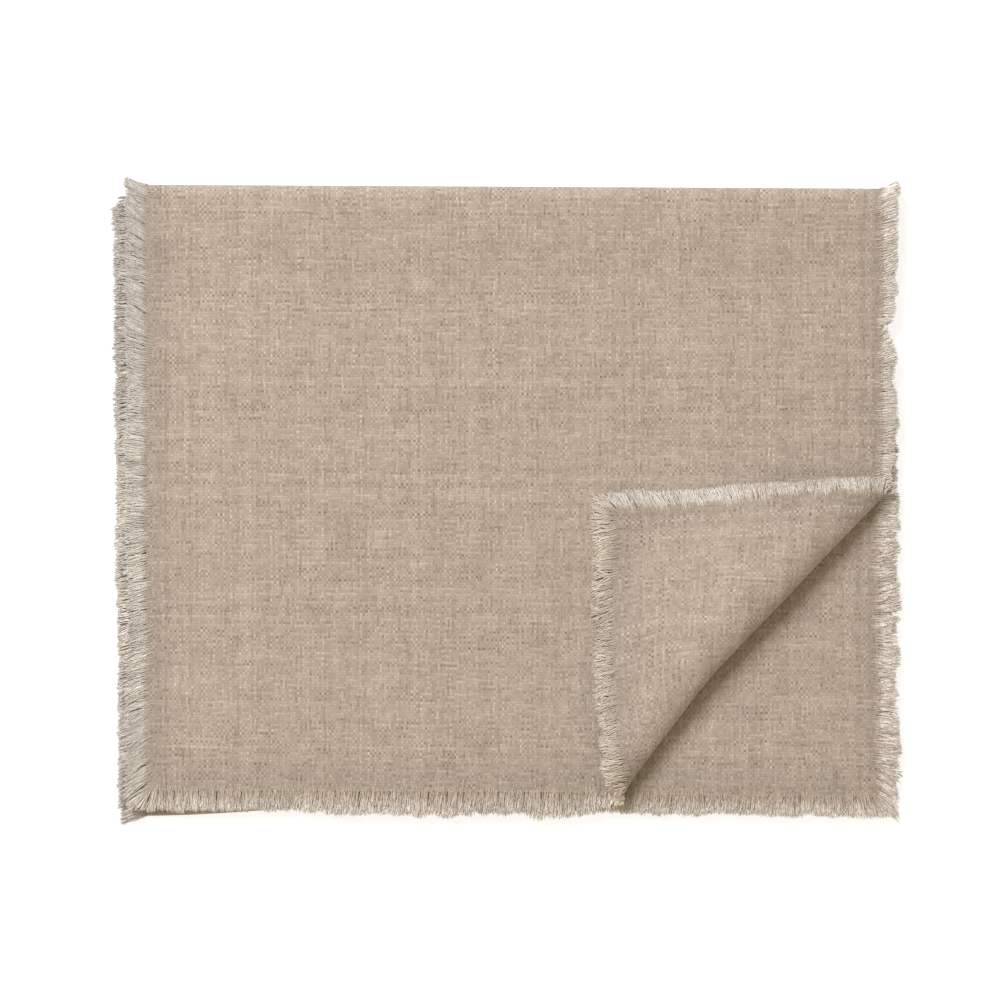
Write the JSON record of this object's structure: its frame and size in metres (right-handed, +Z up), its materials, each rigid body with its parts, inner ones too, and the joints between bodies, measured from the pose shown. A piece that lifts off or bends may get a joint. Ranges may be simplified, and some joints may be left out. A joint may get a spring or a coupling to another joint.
{
  "type": "folded table runner",
  "caption": "Long woven table runner with a short frayed fringe on every edge, folded flat in layers, with the free corner of the top layer turned back in a soft roll.",
  "frame": {"origin": "bottom centre of the folded runner's bounding box, on the surface that it lies on", "axes": "+X across the runner's width, +Y towards the closed folds, +Z up from the surface"},
  "size_m": [0.3613, 0.2918, 0.0276],
  "materials": {
    "cloth": "matt plain weave of flax and cream yarns",
    "fringe": "matt frayed cream yarns"
  },
  "bodies": {
    "root": {"cloth": "cloth", "fringe_left": "fringe", "fringe_right": "fringe", "fringe_right_turned": "fringe", "fringe_end_top": "fringe", "fringe_end_turned": "fringe", "fringe_end_second": "fringe"}
  },
  "joints": []
}
